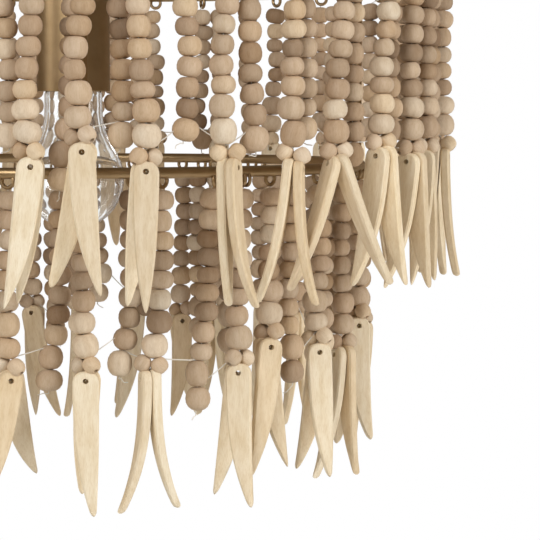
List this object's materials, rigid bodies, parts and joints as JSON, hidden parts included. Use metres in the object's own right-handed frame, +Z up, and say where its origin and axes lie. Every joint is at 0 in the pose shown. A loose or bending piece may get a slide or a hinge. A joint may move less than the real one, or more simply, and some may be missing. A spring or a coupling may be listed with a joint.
{
  "type": "beaded chandelier",
  "caption": "Two-tier ceiling chandelier: brass rings on a tilting stem carry hanging curtains of wood beads with tusk pendants round one bulb.",
  "frame": {"origin": "on the ceiling, in the middle of the mounting strap's top face", "axes": "+Z up, -Y towards the viewer of the picture, +X to the right"},
  "size_m": [0.4526, 0.4526, 0.6872],
  "materials": {
    "brass": "satin antique brass",
    "steel": "zinc plated",
    "porcelain": "glazed",
    "contact_brass": "plain",
    "cap_metal": "rolled thread",
    "glass": "clear",
    "bead_wood": "raw, sanded",
    "tusk_wood": "raw, carved",
    "nylon_line": "white"
  },
  "bodies": {
    "ceiling_mount": {"mounting_strap": "steel", "threaded_nipple": "brass", "strap_nut": "steel", "canopy": "brass", "canopy_collar": "brass", "swivel_nut": "brass"},
    "swivel": {"swivel_fork": "brass", "swivel_pin": "brass"},
    "fixture": {"stem_knuckle": "brass", "upper_stem": "brass", "stem_coupler": "brass", "lower_stem": "brass", "hub": "brass", "spoke_front": "brass", "spoke_right": "brass", "spoke_back": "brass", "spoke_left": "brass", "strut_front": "brass", "strut_right": "brass", "strut_back": "brass", "strut_left": "brass", "upper_ring": "brass", "lower_ring": "brass", "socket_sleeve": "brass", "socket_nipple": "brass", "lamp_socket": "porcelain", "socket_contact": "contact_brass"},
    "bulb": {"bulb_cap": "cap_metal", "bulb_glass": "glass", "filament_mount": "glass"},
    "upper_curtain_01": {"upper_drop_01": "bead_wood"},
    "upper_curtain_02": {"upper_drop_02": "bead_wood"},
    "upper_curtain_03": {"upper_drop_03": "bead_wood"},
    "upper_curtain_04": {"upper_drop_04": "bead_wood"},
    "upper_curtain_05": {"upper_drop_05": "bead_wood"},
    "upper_curtain_06": {"upper_drop_06": "bead_wood"},
    "upper_curtain_07": {"upper_drop_07": "bead_wood"},
    "upper_curtain_08": {"upper_drop_08": "bead_wood"},
    "upper_curtain_09": {"upper_drop_09": "bead_wood"},
    "upper_curtain_10": {"upper_drop_10": "bead_wood"},
    "upper_curtain_11": {"upper_drop_11": "bead_wood"},
    "upper_curtain_12": {"upper_drop_12": "bead_wood"},
    "lower_curtain_01": {"lower_drop_01": "bead_wood"},
    "lower_curtain_02": {"lower_drop_02": "bead_wood"},
    "lower_curtain_03": {"lower_drop_03": "bead_wood"},
    "lower_curtain_04": {"lower_drop_04": "bead_wood"},
    "lower_curtain_05": {"lower_drop_05": "bead_wood"},
    "lower_curtain_06": {"lower_drop_06": "bead_wood"},
    "lower_curtain_07": {"lower_drop_07": "bead_wood"},
    "lower_curtain_08": {"lower_drop_08": "bead_wood"},
    "lower_curtain_09": {"lower_drop_09": "bead_wood"},
    "lower_curtain_10": {"lower_drop_10": "bead_wood"}
  },
  "joints": [
    {"name": "swivel_turn", "type": "hinge", "parent": "ceiling_mount", "child": "swivel", "pos_m": [0, 0, -0.0346], "axis": [0, 0, 1], "range_deg": [-170, 170]},
    {"name": "stem_tilt", "type": "hinge", "parent": "swivel", "child": "fixture", "pos_m": [0, 0, -0.0624], "axis": [1, 0, 0], "range_deg": [-25, 25]},
    {"name": "bulb_screw", "type": "hinge", "parent": "fixture", "child": "bulb", "pos_m": [0, 0, -0.45], "axis": [0, 0, 1], "continuous": true},
    {"name": "upper_sway_01", "type": "hinge", "parent": "fixture", "child": "upper_curtain_01", "pos_m": [0.0438, -0.21151, -0.4], "axis": [-0.9792, -0.2028, 0], "range_deg": [-4, 15]},
    {"name": "upper_sway_02", "type": "hinge", "parent": "fixture", "child": "upper_curtain_02", "pos_m": [0.14369, -0.16127, -0.4], "axis": [-0.7466, -0.6652, 0], "range_deg": [-4, 15]},
    {"name": "upper_sway_03", "type": "hinge", "parent": "fixture", "child": "upper_curtain_03", "pos_m": [0.20508, -0.06782, -0.4], "axis": [-0.314, -0.9494, 0], "range_deg": [-4, 15]},
    {"name": "upper_sway_04", "type": "hinge", "parent": "fixture", "child": "upper_curtain_04", "pos_m": [0.21151, 0.0438, -0.4], "axis": [0.2028, -0.9792, 0], "range_deg": [-4, 15]},
    {"name": "upper_sway_05", "type": "hinge", "parent": "fixture", "child": "upper_curtain_05", "pos_m": [0.16127, 0.14369, -0.4], "axis": [0.6652, -0.7466, 0], "range_deg": [-4, 15]},
    {"name": "upper_sway_06", "type": "hinge", "parent": "fixture", "child": "upper_curtain_06", "pos_m": [0.06782, 0.20508, -0.4], "axis": [0.9494, -0.314, 0], "range_deg": [-4, 15]},
    {"name": "upper_sway_07", "type": "hinge", "parent": "fixture", "child": "upper_curtain_07", "pos_m": [-0.0438, 0.21151, -0.4], "axis": [0.9792, 0.2028, 0], "range_deg": [-4, 15]},
    {"name": "upper_sway_08", "type": "hinge", "parent": "fixture", "child": "upper_curtain_08", "pos_m": [-0.14369, 0.16127, -0.4], "axis": [0.7466, 0.6652, 0], "range_deg": [-4, 15]},
    {"name": "upper_sway_09", "type": "hinge", "parent": "fixture", "child": "upper_curtain_09", "pos_m": [-0.20508, 0.06782, -0.4], "axis": [0.314, 0.9494, 0], "range_deg": [-4, 15]},
    {"name": "upper_sway_10", "type": "hinge", "parent": "fixture", "child": "upper_curtain_10", "pos_m": [-0.21151, -0.0438, -0.4], "axis": [-0.2028, 0.9792, 0], "range_deg": [-4, 15]},
    {"name": "upper_sway_11", "type": "hinge", "parent": "fixture", "child": "upper_curtain_11", "pos_m": [-0.16127, -0.14369, -0.4], "axis": [-0.6652, 0.7466, 0], "range_deg": [-4, 15]},
    {"name": "upper_sway_12", "type": "hinge", "parent": "fixture", "child": "upper_curtain_12", "pos_m": [-0.06782, -0.20508, -0.4], "axis": [-0.9494, 0.314, 0], "range_deg": [-4, 15]},
    {"name": "lower_sway_01", "type": "hinge", "parent": "fixture", "child": "lower_curtain_01", "pos_m": [0.04003, -0.16419, -0.508], "axis": [-0.9715, -0.2368, 0], "range_deg": [-4, 8]},
    {"name": "lower_sway_02", "type": "hinge", "parent": "fixture", "child": "lower_curtain_02", "pos_m": [0.12889, -0.10931, -0.508], "axis": [-0.6468, -0.7627, 0], "range_deg": [-4, 8]},
    {"name": "lower_sway_03", "type": "hinge", "parent": "fixture", "child": "lower_curtain_03", "pos_m": [0.16852, -0.01267, -0.508], "axis": [-0.075, -0.9972, 0], "range_deg": [-4, 8]},
    {"name": "lower_sway_04", "type": "hinge", "parent": "fixture", "child": "lower_curtain_04", "pos_m": [0.14379, 0.0888, -0.508], "axis": [0.5255, -0.8508, 0], "range_deg": [-4, 8]},
    {"name": "lower_sway_05", "type": "hinge", "parent": "fixture", "child": "lower_curtain_05", "pos_m": [0.06413, 0.15636, -0.508], "axis": [0.9252, -0.3795, 0], "range_deg": [-4, 8]},
    {"name": "lower_sway_06", "type": "hinge", "parent": "fixture", "child": "lower_curtain_06", "pos_m": [-0.04003, 0.16419, -0.508], "axis": [0.9715, 0.2368, 0], "range_deg": [-4, 8]},
    {"name": "lower_sway_07", "type": "hinge", "parent": "fixture", "child": "lower_curtain_07", "pos_m": [-0.12889, 0.10931, -0.508], "axis": [0.6468, 0.7627, 0], "range_deg": [-4, 8]},
    {"name": "lower_sway_08", "type": "hinge", "parent": "fixture", "child": "lower_curtain_08", "pos_m": [-0.16852, 0.01267, -0.508], "axis": [0.075, 0.9972, 0], "range_deg": [-4, 8]},
    {"name": "lower_sway_09", "type": "hinge", "parent": "fixture", "child": "lower_curtain_09", "pos_m": [-0.14379, -0.0888, -0.508], "axis": [-0.5255, 0.8508, 0], "range_deg": [-4, 8]},
    {"name": "lower_sway_10", "type": "hinge", "parent": "fixture", "child": "lower_curtain_10", "pos_m": [-0.06413, -0.15636, -0.508], "axis": [-0.9252, 0.3795, 0], "range_deg": [-4, 8]}
  ]
}
